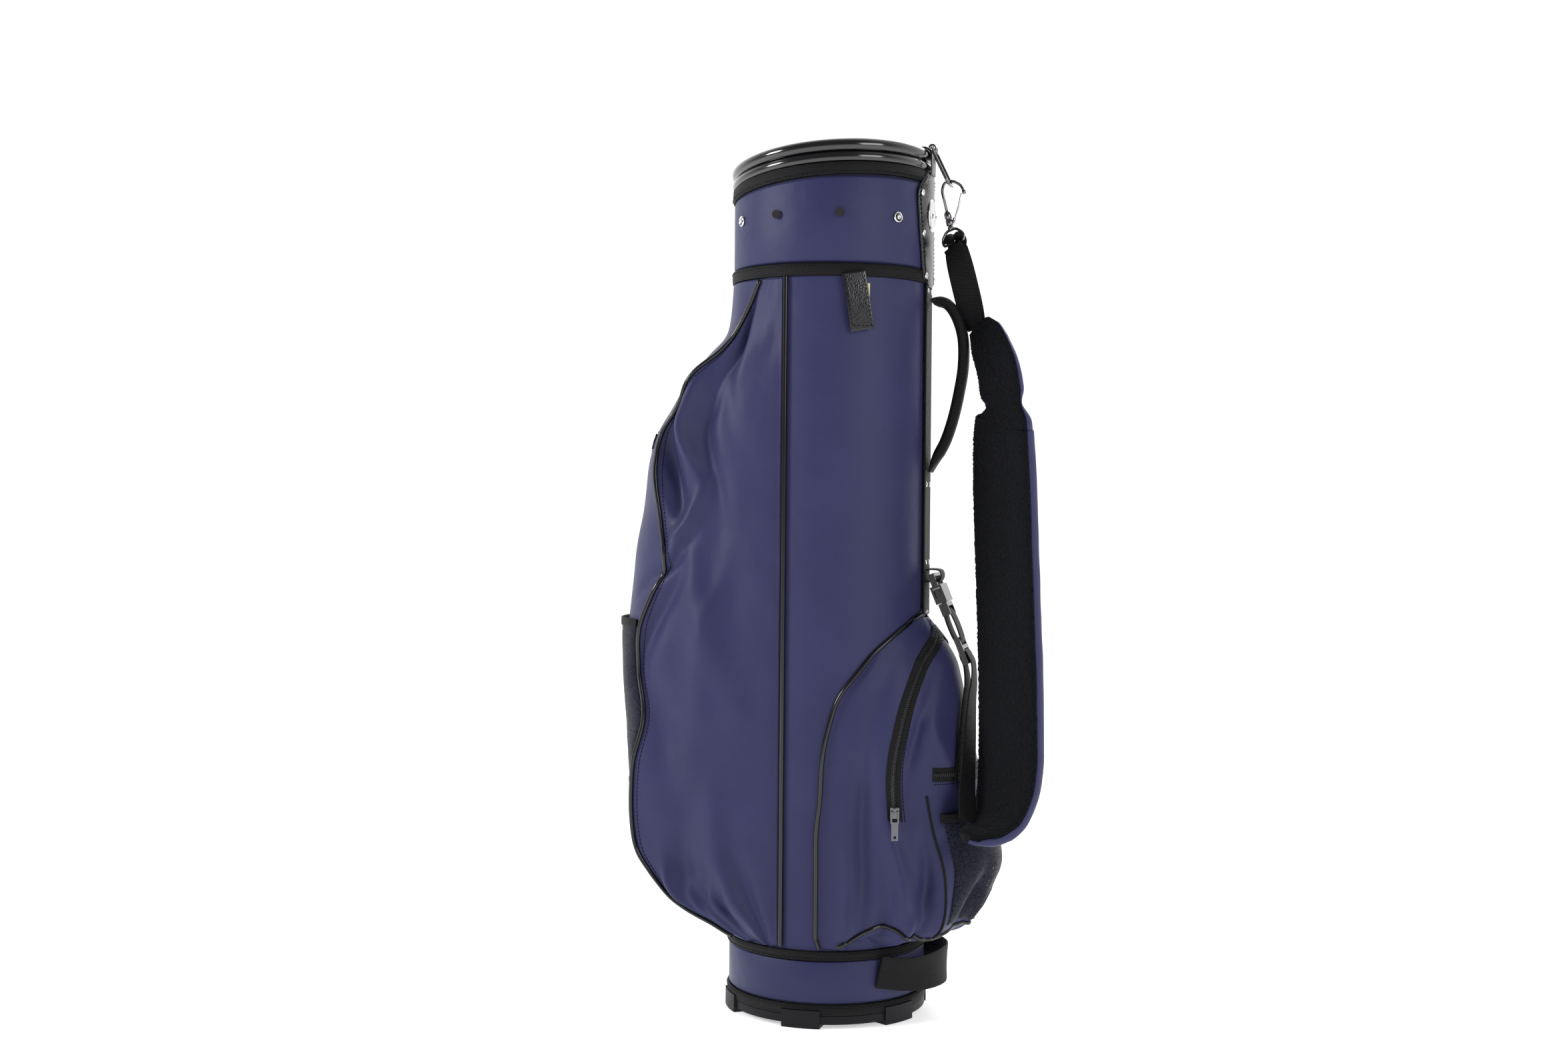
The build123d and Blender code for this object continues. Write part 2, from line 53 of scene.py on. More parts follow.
# lower and upper height of each band and binding
BASE_LOW_TAPE = (12, 24)
BASE_WRAP = (23.5, 68.5)
BASE_TOP_TAPE = (68, 78)
COLLAR_LOW_TAPE = (757, 770)
COLLAR_WRAP = (769, 852)
COLLAR_TOP_TAPE = (851, 864)
STUD_HEIGHT = 819
SNAP_ANGLES = (-50, 54, 126, 230)
DIVIDER_X = 33
DIVIDER_HEIGHT = 820
TAB_ANGLE = 26
PATCH_R = 106.0         # middle of the spine patch
FLEECE_POINTS = 120     # points round the fleece at each step along it
PAD_NOTCH = 631         # height of the crease across the shoulder pad


# ---------------------------------------------------------------- materials
def nodes_of(name):
    """New material with its node tree and its main shader."""
    mat = bpy.data.materials.new(name)
    mat.use_nodes = True
    tree = mat.node_tree
    shader = next(n for n in tree.nodes if n.type == "BSDF_PRINCIPLED")
    return mat, tree, shader


def new(tree, kind, **values):
    """New node; a value sets the setting of that name, or else the input of that name."""
    node = tree.nodes.new(kind)
    for key, value in values.items():
        if hasattr(node, key):
            setattr(node, key, value)
        else:
            node.inputs[key.replace("_", " ")].default_value = value
    return node


def material(name, colour, rough, bumps, metal=0.0, sheen=0.0, coat=0.0, blotch=0.12):
    """Principled material with blotchy colour and roughness and layered bump."""
    mat, tree, shader = nodes_of(name)
    link = tree.links.new
    place = tree.nodes.new("ShaderNodeTexCoord").outputs["Object"]
    cloud = new(tree, "ShaderNodeTexNoise", Scale=9.0, Detail=6.0, Roughness=0.6)
    link(place, cloud.inputs["Vector"])
    ramp = tree.nodes.new("ShaderNodeValToRGB")
    ramp.color_ramp.elements[0].position = 0.3
    ramp.color_ramp.elements[1].position = 0.7
    dark = [c * (1 - blotch) for c in colour]
    light = [min(1, c * (1 + blotch)) for c in colour]
    ramp.color_ramp.elements[0].color = (*dark, 1)
    ramp.color_ramp.elements[1].color = (*light, 1)
    link(cloud.outputs["Fac"], ramp.inputs["Fac"])
    link(ramp.outputs["Color"], shader.inputs["Base Color"])
    span = new(tree, "ShaderNodeMapRange")
    span.inputs["To Min"].default_value = max(0.02, rough - 0.07)
    span.inputs["To Max"].default_value = min(1, rough + 0.07)
    link(cloud.outputs["Fac"], span.inputs["Value"])
    link(span.outputs["Result"], shader.inputs["Roughness"])
    shader.inputs["Metallic"].default_value = metal
    shader.inputs["Specular IOR Level"].default_value = 0.5 if coat or metal else 0.22
    shader.inputs["Sheen Weight"].default_value = sheen
    shader.inputs["Sheen Roughness"].default_value = 0.4
    shader.inputs["Coat Weight"].default_value = coat
    shader.inputs["Coat Roughness"].default_value = 0.08
    last = None
    for kind, scale, strength, distance in bumps:
        if kind in "XYZ":
            texture = new(tree, "ShaderNodeTexWave", bands_direction=kind, Scale=scale, Distortion=0.6)
            texture.inputs["Detail"].default_value = 1.0
            out = texture.outputs["Fac"]
        elif kind == "cells":
            texture = new(tree, "ShaderNodeTexVoronoi", Scale=scale)
            out = texture.outputs["Distance"]
        else:
            texture = new(tree, "ShaderNodeTexNoise", Scale=scale, Detail=4.0)
            out = texture.outputs["Fac"]
        link(place, texture.inputs["Vector"])
        bump = new(tree, "ShaderNodeBump", Strength=strength, Distance=distance)
        link(out, bump.inputs["Height"])
        if last:
            link(last.outputs["Normal"], bump.inputs["Normal"])
        last = bump
    if last:
        link(last.outputs["Normal"], shader.inputs["Normal"])
    return mat


def net_material(name, colour):
    """Open net: dark threads with small holes between them."""
    mat = material(name, colour, 0.7, [("noise", 900, 0.3, 0.0005)], sheen=0.2)
    tree = mat.node_tree
    shader = next(n for n in tree.nodes if n.type == "BSDF_PRINCIPLED")
    cells = new(tree, "ShaderNodeTexVoronoi", Scale=420.0, feature="DISTANCE_TO_EDGE")
    tree.links.new(tree.nodes.new("ShaderNodeTexCoord").outputs["Object"], cells.inputs["Vector"])
    span = new(tree, "ShaderNodeMapRange")
    span.inputs["From Min"].default_value = 0.12
    span.inputs["From Max"].default_value = 0.22
    span.inputs["To Min"].default_value = 1.0
    span.inputs["To Max"].default_value = 0.25
    tree.links.new(cells.outputs["Distance"], span.inputs["Value"])
    tree.links.new(span.outputs["Result"], shader.inputs["Alpha"])
    return mat


WEAVE = [("Z", 520, 0.16, 0.0003), ("X", 520, 0.12, 0.0003), ("noise", 1400, 0.12, 0.0003),
         ("noise", 24, 0.25, 0.006)]
MATERIALS = {
    "navy_nylon": material("navy_nylon", (0.027, 0.029, 0.088), 0.44, WEAVE, sheen=0.05, blotch=0.1),
    "black_fabric": material("black_fabric", (0.004, 0.004, 0.005), 0.6,
                             [("Z", 210, 0.7, 0.0006), ("noise", 900, 0.35, 0.0005)]),
    "fleece": material("fleece", (0.0025, 0.003, 0.005), 0.95,
                       [("noise", 420, 0.9, 0.002), ("cells", 900, 0.7, 0.0012)], sheen=0.04),
    "mesh": net_material("mesh", (0.007, 0.008, 0.02)),
    "rim_vinyl": material("rim_vinyl", (0.003, 0.003, 0.004), 0.16, [("noise", 260, 0.05, 0.0004)],
                          coat=0.7),
    "leather": material("leather", (0.003, 0.003, 0.005), 0.24,
                        [("cells", 620, 0.28, 0.0006), ("noise", 60, 0.2, 0.002)], coat=0.08),
    "piping": material("piping", (0.002, 0.002, 0.003), 0.2, [("noise", 500, 0.1, 0.0003)], coat=0.05),
    "tray_plastic": material("tray_plastic", (0.006, 0.006, 0.008), 0.5,
                             [("noise", 1200, 0.3, 0.0004)], blotch=0.3),
    "tube_plastic": material("tube_plastic", (0.03, 0.03, 0.04), 0.5, [("noise", 300, 0.1, 0.0004)]),
    "foam": material("foam", (0.02, 0.02, 0.025), 0.9, [("noise", 800, 0.5, 0.0008)]),
    "buckle_plastic": material("buckle_plastic", (0.003, 0.003, 0.004), 0.2,
                               [("noise", 700, 0.08, 0.0003)], coat=0.3),
    "dark_chrome": material("dark_chrome", (0.2, 0.19, 0.2), 0.14, [("noise", 300, 0.06, 0.0003)],
                            metal=1.0, blotch=0.25),
    "bright_metal": material("bright_metal", (0.72, 0.71, 0.72), 0.16, [("noise", 260, 0.05, 0.0003)],
                             metal=1.0, blotch=0.1),
    "zip_metal": material("zip_metal", (0.16, 0.16, 0.18), 0.32, [("noise", 500, 0.15, 0.0003)],
                          metal=1.0, blotch=0.2),
    "bar_metal": material("bar_metal", (0.4, 0.4, 0.42), 0.35, [("noise", 300, 0.1, 0.0003)], metal=1.0),
    "label_cloth": material("label_cloth", (0.72, 0.66, 0.36), 0.8, [("Z", 400, 0.3, 0.0004)]),
}
for entry in frame["record"]["subparts"]:
    node = frame["nodes"][entry["node"]]
    if node.material_slots:
        node.material_slots[0].material = MATERIALS[entry["material_slot"]]
    else:
        node.data.materials.append(MATERIALS[entry["material_slot"]])


# ---------------------------------------------------------------- mesh helpers
def piece(name, points, faces, slot, body="bag", replaces=()):
    """Smooth mesh object that rides on a body and may stand in for CAD nodes."""
    mesh = bpy.data.meshes.new(name)
    mesh.from_pydata([tuple(Vector(p) * MM) for p in points], [], faces)
    mesh.validate()
    mesh.update()
    mesh.polygons.foreach_set("use_smooth", [True] * len(mesh.polygons))
    mesh.materials.append(MATERIALS[slot])
    obj = bpy.data.objects.new(name, mesh)
    bpy.context.scene.collection.objects.link(obj)
    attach(obj, body)
    if replaces:
        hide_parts(*replaces)
    return obj


def grid_faces(rows, columns, wrap_row=False, wrap_column=False, start=0):
    faces = []
    for i in range(rows if wrap_row else rows - 1):
        for j in range(columns if wrap_column else columns - 1):
            a, b = i * columns + start, (i + 1) % rows * columns + start
            c, d = j, (j + 1) % columns
            faces.append([a + c, a + d, b + d, b + c])
    return faces


def panel_faces(rows, columns, flip=False):
    """Faces of a panel made of an outer grid, then an inner grid of the same size, closed at the edges."""
    size = rows * columns
    faces = grid_faces(rows, columns)
    faces += [face[::-1] for face in grid_faces(rows, columns, start=size)]
    border = list(range(columns))
    border += [i * columns + columns - 1 for i in range(1, rows)]
    border += [(rows - 1) * columns + j for j in range(columns - 2, -1, -1)]
    border += [i * columns for i in range(rows - 2, 0, -1)]
    faces += [[b, a, a + size, b + size] for a, b in zip(border, border[1:] + border[:1])]
    return [face[::-1] for face in faces] if flip else faces


def smooth_points(points, steps, closed=False):
    """Catmull-Rom curve through points of any dimension."""
    count = len(points)
    result = []
    for i in range(count if closed else count - 1):
        if closed:
            a, b, c, d = (points[(i + k) % count] for k in (-1, 0, 1, 2))
        else:
            b, c = points[i], points[i + 1]
            a = points[i - 1] if i else [2 * q - r for q, r in zip(b, c)]
            d = points[i + 2] if i + 2 < count else [2 * q - r for q, r in zip(c, b)]
        for step in range(steps):
            t = step / steps
            result.append([
                0.5 * (2 * q + (r - p) * t + (2 * p - 5 * q + 4 * r - s) * t * t
                       + (3 * q - p - 3 * r + s) * t ** 3)
                for p, q, r, s in zip(a, b, c, d)
            ])
    if not closed:
        result.append(list(points[-1]))
    return result


def round_section(radius, count=12):
    return [(radius * cos(2 * pi * k / count), radius * sin(2 * pi * k / count)) for k in range(count)]


def flat_section(width, thick, count=28, power=5.0):
    """Rounded flat band: a superellipse."""
    points = []
    for k in range(count):
        angle = 2 * pi * k / count
        c, s = cos(angle), sin(angle)
        x = abs(c) ** (2 / power) * width / 2 * (1 if c >= 0 else -1)
        y = abs(s) ** (2 / power) * thick / 2 * (1 if s >= 0 else -1)
        points.append((x, y))
    return points


def sweep_points(path, across, section, closed=False):
    """Rings of points along a path. across and section may be lists, one per path point."""
    rings = []
    count = len(path)
    for i, at in enumerate(path):
        before = Vector(path[(i - 1) % count] if closed else path[max(i - 1, 0)])
        after = Vector(path[(i + 1) % count] if closed else path[min(i + 1, count - 1)])
        run = (after - before).normalized()
        side = Vector(across[i] if isinstance(across, list) else across)
        side = (side - run * side.dot(run)).normalized()
        normal = run.cross(side)
        ring = section[i] if isinstance(section[0], list) else section
        rings.append([Vector(at) + side * x + normal * y for x, y in ring])
    return rings


def swept(path, across, section, closed=False):
    """Points and faces of a closed tube along a path."""
    rings = sweep_points(path, across, section, closed)
    points = [p for ring in rings for p in ring]
    size = len(rings[0])
    faces = grid_faces(len(rings), size, wrap_row=closed, wrap_column=True)
    if not closed:
        faces.append(list(range(size))[::-1])
        faces.append([len(points) - size + k for k in range(size)])
    return points, faces


def joined(parts):
    points, faces = [], []
    for more_points, more_faces in parts:
        start = len(points)
        points += more_points
        faces += [[start + k for k in face] for face in more_faces]
    return points, faces


def lathe(profile, at, axis, count=24):
    """Turned shape: profile is (radius, height) along the axis."""
    axis = Vector(axis).normalized()
    side = axis.orthogonal().normalized()
    other = axis.cross(side)
    points = []
    for radius, height in profile:
        for k in range(count):
            angle = 2 * pi * k / count
            points.append(Vector(at) + axis * height + (side * cos(angle) + other * sin(angle)) * radius)
    faces = grid_faces(len(profile), count, wrap_column=True)
    faces.append(list(range(count))[::-1])
    faces.append([len(points) - count + k for k in range(count)])
    return points, faces


def polar(radius, angle, z):
    return Vector((radius * sin(radians(angle)), -radius * cos(radians(angle)), z))


def stitches(path, normals, pitch, lift):
    """Short thread stitches along a dense path, lying on a surface."""
    parts = []
    travelled, due = 0.0, pitch / 2
    for i in range(len(path) - 1):
        a, b = Vector(path[i]), Vector(path[i + 1])
        step = (b - a).length
        while travelled + step > due:
            at = a.lerp(b, (due - travelled) / step)
            run = (b - a).normalized()
            normal = Vector(normals[i]).normalized()
            long, wide = STITCH
            ends = [at + run * long * k / 2 + normal * (lift + h) for k, h in
                    ((-1, -0.5), (-0.6, 0.15), (0, 0.3), (0.6, 0.15), (1, -0.5))]
            parts.append(swept(ends, run.cross(normal), round_section(wide / 2, 6)))
            due += pitch
        travelled += step
    return joined(parts)


# ---------------------------------------------------------------- collar, rim and base
def rim_height(height, angle):
    """Height of the tilted rim at an angle, for a height on the axis."""
    x = 99.5 * sin(radians(angle))
    return height + x * sin(radians(RIM_TILT)) + RIM_SADDLE * cos(radians(angle)) ** 2


def band(name, inner, outer, low, high, slot, replaces, crown=0.0):
    """Fabric band round the tube; low and high are heights by angle."""
    columns, points = 180, []
    profile = [(0, 0), (1, 0.06), (1, 0.5), (1, 0.94), (0, 1)]
    for k in range(columns):
        angle = 360 * k / columns
        a, b = low(angle), high(angle)
        for out, part in profile:
            puff = crown * (1 - (2 * part - 1) ** 2)
            points.append(polar(inner + (outer - inner) * out + puff * out, angle, a + (b - a) * part))
    faces = grid_faces(columns, len(profile), wrap_row=True, wrap_column=True)
    return piece(name, points, faces, slot, "bag", replaces)


def ring_stitches(name, radius, height, pitch=4.6):
    path = [polar(radius, k, height(k)) for k in range(0, 361, 2)]
    normals = [polar(1, k, 0) for k in range(0, 361, 2)]
    piece(name, *stitches(path, normals, pitch, 0.0), "black_fabric")


def level(height):
    return lambda angle: height


def rim(height):
    return lambda angle: rim_height(height, angle)


def collar():
    band("collar_wrap", TUBE_R, BAND_R, level(COLLAR_WRAP[0]), rim(COLLAR_WRAP[1]), "navy_nylon",
         ["collar_band"])
    band("collar_low_tape", TUBE_R, BINDING_R, level(COLLAR_LOW_TAPE[0]), level(COLLAR_LOW_TAPE[1]),
         "black_fabric", ["collar_lower_binding"], 0.5)
    band("collar_top_tape", TUBE_R, BINDING_R, rim(COLLAR_TOP_TAPE[0]), rim(COLLAR_TOP_TAPE[1]),
         "black_fabric", ["collar_upper_binding"], 0.5)
    ring_stitches("collar_low_stitches", BINDING_R + STITCH_LIFT, level(767.4))
    ring_stitches("collar_top_stitches", BINDING_R + STITCH_LIFT, rim(853.6))
    for name, height, radius, node in (("rim_cord_low", 868.6, 5.9, "rim_roll_lower"),
                                       ("rim_cord_top", 880.5, 6.6, "rim_roll_upper")):
        path = [polar(99.5, k, rim_height(height, k)) for k in range(0, 360, 2)]
        across = [polar(1, k, 0) for k in range(0, 360, 2)]
        points, faces = swept(path, across, round_section(radius, 20), closed=True)
        piece(name, points, faces, "rim_vinyl", "bag", [node])


def base():
    band("base_wrap", TUBE_R, BAND_R, level(BASE_WRAP[0]), level(BASE_WRAP[1]), "navy_nylon", ["base_band"])
    band("base_low_tape", TUBE_R, BINDING_R, level(BASE_LOW_TAPE[0]), level(BASE_LOW_TAPE[1]), "black_fabric",
         ["base_lower_binding"], 0.5)
    band("base_top_tape", TUBE_R, BINDING_R, level(BASE_TOP_TAPE[0]), level(BASE_TOP_TAPE[1]), "black_fabric",
         ["base_upper_binding"], 0.5)
    ring_stitches("base_top_stitches", BINDING_R + STITCH_LIFT, level(70.2))
    ring_stitches("base_low_stitches", BINDING_R + STITCH_LIFT, level(22.0))


# ---------------------------------------------------------------- pockets
class Pocket:
    """Surface of a sewn pocket: u runs 0 to 1 from the near tube side, over the face, to the far side."""

    SEAM = 0.3

    def __init__(self, sign, levels, folds):
        self.sign = sign
        self.folds = folds
        rows = smooth_points(levels, 8)
        self.rows = sorted(rows)

    def level(self, z):
        rows = self.rows
        z = min(max(z, rows[0][0]), rows[-1][0])
        low, high = 0, len(rows) - 1
        while high - low > 1:
            middle = (low + high) // 2
            if rows[middle][0] <= z:
                low = middle
            else:
                high = middle
        a, b = rows[low], rows[high]
        part = (z - a[0]) / max(b[0] - a[0], 1e-6)
        return [p + (q - p) * part for p, q in zip(a, b)]

    def plain(self, u, z):
        _, half, seam_x, seam_y, centre_x = self.level(z)
        far = u > 0.5
        if far:
            u = 1 - u
        root = Vector((TUBE_R * cos(radians(half)), -TUBE_R * sin(radians(half)), 0))
        if u < self.SEAM:
            part = u / self.SEAM
            at = root.lerp(Vector((seam_x, -seam_y, 0)), part)
            puff = 5.0 * sin(pi * part) * min(1, (seam_x - 60) / 60)
            at += Vector((0.15, -1, 0)).normalized() * max(puff, 0)
        else:
            y = -seam_y * (0.5 - u) / (0.5 - self.SEAM)
            rise = max(centre_x - seam_x, 0.5)
            radius = (rise * rise + seam_y * seam_y) / (2 * rise)
            at = Vector((centre_x - radius + sqrt(max(radius * radius - y * y, 0)), y, 0))
        least = TUBE_R + 0.6
        if hypot(at.x, at.y) < least:
            at = at * (least / max(hypot(at.x, at.y), 1e-6))
        return Vector((self.sign * at.x, -at.y if far else at.y, z))

    def normal(self, u, z):
        step_u, step_z = 0.004, 1.5
        along = self.plain(min(u + step_u, 1), z) - self.plain(max(u - step_u, 0), z)
        up = self.plain(u, z + step_z) - self.plain(u, z - step_z)
        out = along.cross(up) if self.sign > 0 else up.cross(along)
        return out.normalized()

    def point(self, u, z, lift=0.0):
        at = self.plain(u, z)
        normal = self.normal(u, z)
        edge = min(1.0, min(u, 1 - u) / 0.05)
        depth = 0.0
        mirror = u if u < 0.5 else 1 - u
        for place_u, place_z, lean, long, wide, height in self.folds:
            du = (mirror - place_u) * 400
            dz = z - place_z
            c, s = cos(radians(lean)), sin(radians(lean))
            across, along = du * c - dz * s, du * s + dz * c
            depth += 2.2 * height * exp(-(across / wide) ** 2 - (along / long) ** 2)
        depth += 1.6 * noise.noise(Vector((u * 9, z / 45, self.sign * 3.0)))
        return at + normal * (depth * edge + lift)

    def skin(self, name, u0, u1, z0, z1, slot, replaces, columns=150, rows=170, lift=0.0, thick=1.2):
        """Fabric panel with a turned-in thickness."""
        outer, inner = [], []
        for i in range(rows):
            z = z0 + (z1 - z0) * i / (rows - 1)
            for j in range(columns):
                u = u0 + (u1 - u0) * j / (columns - 1)
                rise = lift(j / (columns - 1), i / (rows - 1)) if callable(lift) else lift
                outer.append(self.point(u, z, rise))
                inner.append(self.point(u, z, rise - thick))
        faces = panel_faces(rows, columns)
        return piece(name, outer + inner, faces, slot, "bag", replaces)

    def path(self, route, lift=0.0, steps=24):
        """Points and normals along a route of (u, z) on the surface."""
        flat = smooth_points(route, steps)
        return [self.point(u, z, lift) for u, z in flat], [self.normal(u, z) for u, z in flat]

    def cord(self, name, route, radius, slot, replaces=(), lift=0.6, steps=24):
        points, normals = self.path(route, lift, steps)
        return piece(name, *swept(points, normals, round_section(radius)), slot, "bag", replaces)

    def tape(self, name, route, width, slot, replaces=(), lift=0.7, thick=1.1, steps=24):
        points, normals = self.path(route, lift, steps)
        across = []
        for i, normal in enumerate(normals):
            run = points[min(i + 1, len(points) - 1)] - points[max(i - 1, 0)]
            across.append(run.cross(normal))
        return piece(name, *swept(points, across, flat_section(width, thick, 20)), slot, "bag", replaces)

    def zip_teeth(self, name, route, lift=1.3, pitch=2.2, steps=24):
        points, normals = self.path(route, lift, steps)
        parts = []
        travelled, due, flip = 0.0, 1.0, 1
        for i in range(len(points) - 1):
            a, b = points[i], points[i + 1]
            step = (b - a).length
            while travelled + step > due:
                at = a.lerp(b, (due - travelled) / step)
                run = (b - a).normalized()
                side = run.cross(normals[i]).normalized()
                ends = [at + side * (flip * 0.7 - 1.7), at + side * (flip * 0.7 + 1.7)]
                parts.append(swept(ends, run, flat_section(1.2, 1.0, 8, 4)))
                due += pitch / 2
                flip = -flip
            travelled += step
        return piece(name, *joined(parts), "piping", "bag")

    def stitching(self, name, route, pitch=4.2, lift=0.15, steps=24):
        points, normals = self.path(route, 0.0, steps)
        return piece(name, *stitches(points, normals, pitch, lift), "black_fabric", "bag")


# height, half angle on the tube, seam X, seam Y, middle of the face X
FRONT = Pocket(-1, [
    (79, 75, 64, 83, 106), (86, 75, 84, 80, 118), (97, 75, 104, 80, 141), (110, 75, 130, 80, 157),
    (123, 75, 151, 80, 172), (146, 75, 172, 80, 191), (170, 75, 186, 80, 203),
    (212, 75, 191, 80, 209), (255, 75, 189, 80, 211), (304, 75, 180, 80, 213),
    (354, 75, 188, 80, 216), (400, 75, 184, 80, 217), (460, 75, 158, 80, 213),
    (505, 75, 160, 80, 206), (567, 75, 167, 80, 194), (602, 75, 162, 80, 183),
    (628, 75, 142, 80, 169), (656, 75, 122, 80, 153), (684, 75, 95, 80, 130),
    (708, 75, 78, 80, 109), (756, 75, 52, 90, 104),
], [
    # u, z, lean, length, width, height
    (0.262, 560, 8, 46, 9, -7.5), (0.235, 700, 30, 34, 7, -3.0), (0.252, 610, 26, 44, 6, 3.5),
    (0.19, 610, 14, 80, 9, -3.0), (0.15, 400, -6, 110, 12, 2.5), (0.27, 400, -10, 60, 9, -3.5),
    (0.225, 590, 18, 60, 11, 4.0), (0.24, 500, -28, 46, 8, 5.0),
    (0.275, 468, -35, 30, 7, -5.0), (0.2, 440, 20, 90, 13, 3.0), (0.16, 520, 12, 120, 15, -2.5),
    (0.27, 640, 24, 40, 8, 4.0), (0.2, 665, 28, 60, 10, -2.5), (0.25, 290, 14, 70, 14, -3.0),
    (0.12, 160, 4, 70, 12, 3.0), (0.21, 150, -12, 50, 10, -3.5), (0.27, 130, -20, 24, 6, 3.5),
    (0.17, 112, -25, 24, 6, -3.5), (0.235, 104, -32, 18, 5, 3.0), (0.08, 130, 6, 50, 9, -3.0),
    (0.36, 128, 8, 26, 7, -3.5), (0.42, 118, -6, 24, 7, 3.0), (0.2, 122, -38, 26, 5, -2.5),
    (0.24, 118, -30, 22, 4, 2.0),
    (0.47, 125, 4, 30, 8, -3.0),
])
REAR = Pocket(1, [
    (80, 80, 92, 50, 105), (86, 81, 112, 58, 122), (92, 82, 128, 62, 140), (104, 82, 137, 66, 152),
    (128, 82, 141, 68, 163), (160, 82, 139, 70, 177), (197, 82, 129, 70, 170),
    (233, 80, 122, 70, 163), (270, 79, 118, 70, 157), (300, 76, 117, 68, 149),
    (333, 70, 115, 62, 144), (361, 58, 112, 50, 138), (380, 48, 109, 38, 129),
    (398, 33, 106, 24, 116), (411, 18, 104.5, 12, 106),
], [
    (0.12, 200, 4, 90, 12, -4.0), (0.2, 150, -6, 60, 9, 4.0), (0.255, 140, 8, 50, 7, -4.0),
    (0.16, 110, 6, 40, 8, -3.0), (0.08, 130, 2, 70, 9, 3.0), (0.23, 105, 20, 18, 6, 4.0),
    (0.285, 300, 20, 40, 8, -2.5), (0.36, 250, -18, 60, 10, 2.0), (0.4, 130, 10, 30, 9, -3.5),
    (0.46, 110, -8, 24, 8, 3.0),
])


def front_pocket():
    FRONT.skin("front_pocket_fabric", 0, 1, 79, 756, "navy_nylon", ["front_pocket"], 190, 300)
    heights = [84, 92, 104, 118, 135, 160, 200, 250, 300, 350, 400, 430, 460, 505, 560, 600, 628, 656,
               684, 708, 730, 755]
    for side, u in (("near", 0.3), ("far", 0.7)):
        replaced = ["front_piping"] if side == "near" else []
        FRONT.cord("front_piping_" + side, [(u, z) for z in heights], 2.3, "piping", replaced, 1.0, 8)
        offset = -0.012 if side == "near" else 0.012
        FRONT.stitching("front_seam_stitches_" + side, [(u + offset, z) for z in heights], steps=8)
    across = [(0.34, 592), (0.42, 592), (0.5, 592), (0.58, 592), (0.66, 592)]
    FRONT.tape("front_zip_tape", across, 17, "black_fabric", ["front_zip"])
    FRONT.zip_teeth("front_zip_teeth", across, 1.1)
    for k, z in enumerate((582, 602)):
        FRONT.stitching("front_zip_stitches_%d" % k, [(u, z) for u, _ in across])
    net = FRONT.skin("front_mesh_net", 0.312, 0.688, 234, 400, "mesh", ["front_mesh"], 70, 60,
                     lambda a, b: 0.8 + 7.0 * min(1, 4 * b) * sin(pi * a) ** 0.5, 0.5)
    hem = [(0.312 + 0.376 * k / 16, 401) for k in range(17)]
    points = [FRONT.point(u, z, 1.0 + 7.2 * sin(pi * k / 16) ** 0.5) for k, (u, z) in enumerate(hem)]
    points = [Vector(p) for p in smooth_points(points, 5)]
    hem_mesh = swept(points, (0, 0, 1), flat_section(9, 2.6))
    foot = [FRONT.point(0.312 + 0.376 * k / 60, 235, 1.2) for k in range(61)]
    piece("front_mesh_hem", *joined([hem_mesh, swept(foot, (0, 0, 1), flat_section(5, 1.6))]),
          "black_fabric", "bag", ["mesh_bindings"])


ZIP_ROUTE = [(0.204, 210), (0.207, 250), (0.222, 290), (0.243, 325), (0.276, 356), (0.33, 380),
             (0.42, 393), (0.5, 397)]


def both_sides(route):
    return route + [(1 - u, z) for u, z in route[-2::-1]]


